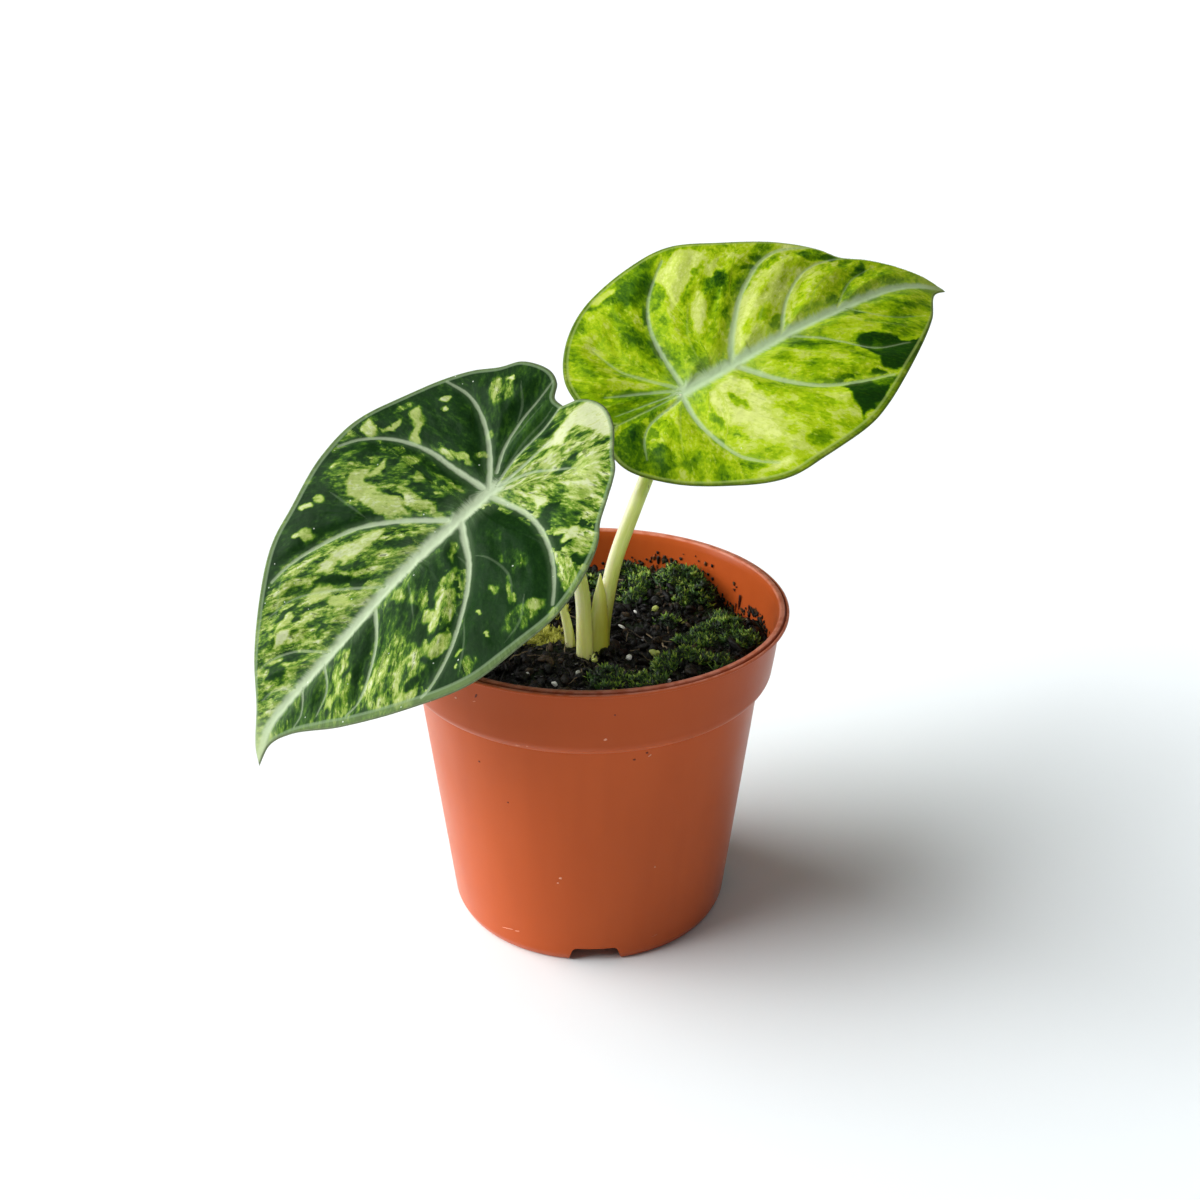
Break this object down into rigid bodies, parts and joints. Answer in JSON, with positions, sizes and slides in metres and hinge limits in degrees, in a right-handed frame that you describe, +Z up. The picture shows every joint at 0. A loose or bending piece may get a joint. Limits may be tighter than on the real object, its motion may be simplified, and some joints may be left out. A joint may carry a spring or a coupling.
{
  "type": "potted ninja tricolor alocasia",
  "caption": "Small potted aroid with heart-shaped variegated quilted leaves on pale petioles, in a tapered terracotta-coloured plastic nursery pot filled with mossy potting mix.",
  "frame": {"origin": "centre of the underside of the pot, on the surface it stands on", "axes": "+Z up along the pot's axis, -Y towards the front that the picture shows, +X to the right"},
  "size_m": [0.1819, 0.132, 0.1703],
  "materials": {
    "terracotta_plastic": "satin",
    "potting_mix": "matte",
    "root": "matte",
    "petiole": "satin",
    "sheath": "matte",
    "blade_dark": "satin",
    "blade_light": "satin"
  },
  "bodies": {
    "root": {"pot": "terracotta_plastic", "soil": "potting_mix", "rhizome": "root", "leaf_left_petiole": "petiole", "leaf_left_blade": "blade_dark", "leaf_right_petiole": "petiole", "leaf_right_blade": "blade_light", "old_petiole_stub": "sheath", "cataphyll": "sheath"}
  },
  "joints": []
}
